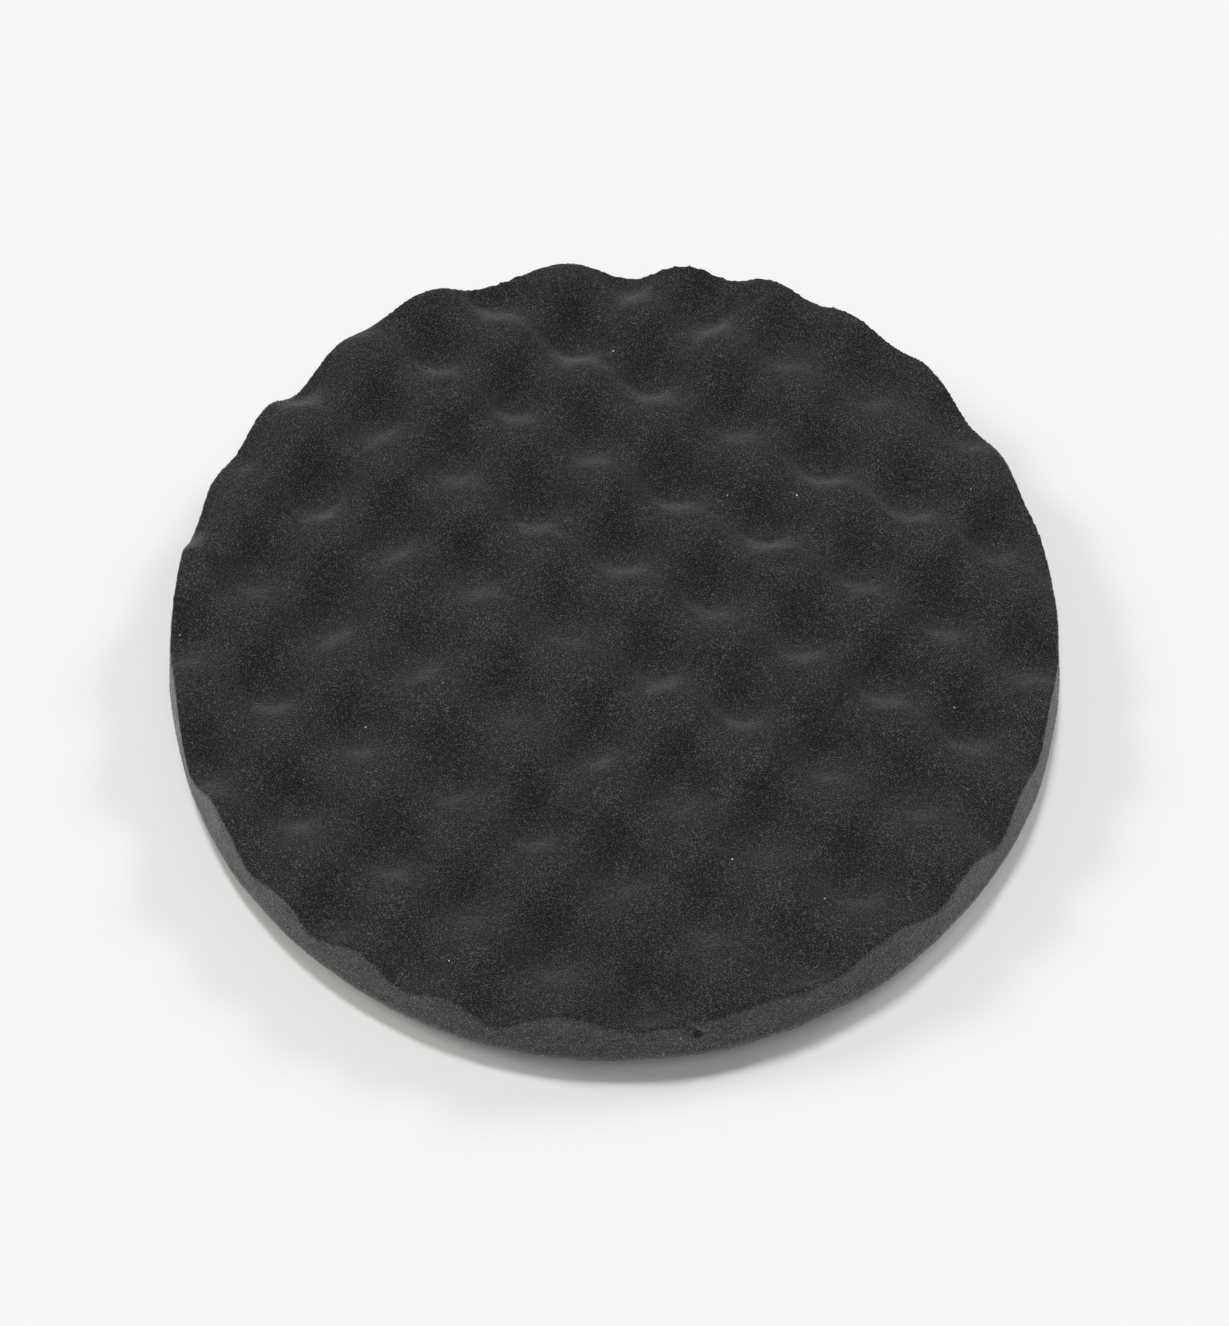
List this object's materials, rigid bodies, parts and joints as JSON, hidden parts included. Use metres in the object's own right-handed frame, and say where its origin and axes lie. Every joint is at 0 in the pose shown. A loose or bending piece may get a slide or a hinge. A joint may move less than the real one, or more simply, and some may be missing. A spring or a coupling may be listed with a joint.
{
  "type": "foam polishing pad",
  "caption": "Round black foam polishing pad with an egg-crate working face, a flared side wall, a rolled-under edge and a loop-fastener back.",
  "frame": {"origin": "centre of the loop face, which is the lowest surface, on the spin axis", "axes": "+Z along the spin axis out of the working face; X and Y lie in the plane of the pad"},
  "size_m": [0.203, 0.203, 0.0271],
  "materials": {
    "foam": "matte",
    "adhesive": "satin",
    "ground_cloth": "matte",
    "loops": "matte"
  },
  "bodies": {
    "root": {"foam_pad": "foam", "adhesive_film": "adhesive", "backing_cloth": "ground_cloth", "loop_pile": "loops"}
  },
  "joints": []
}
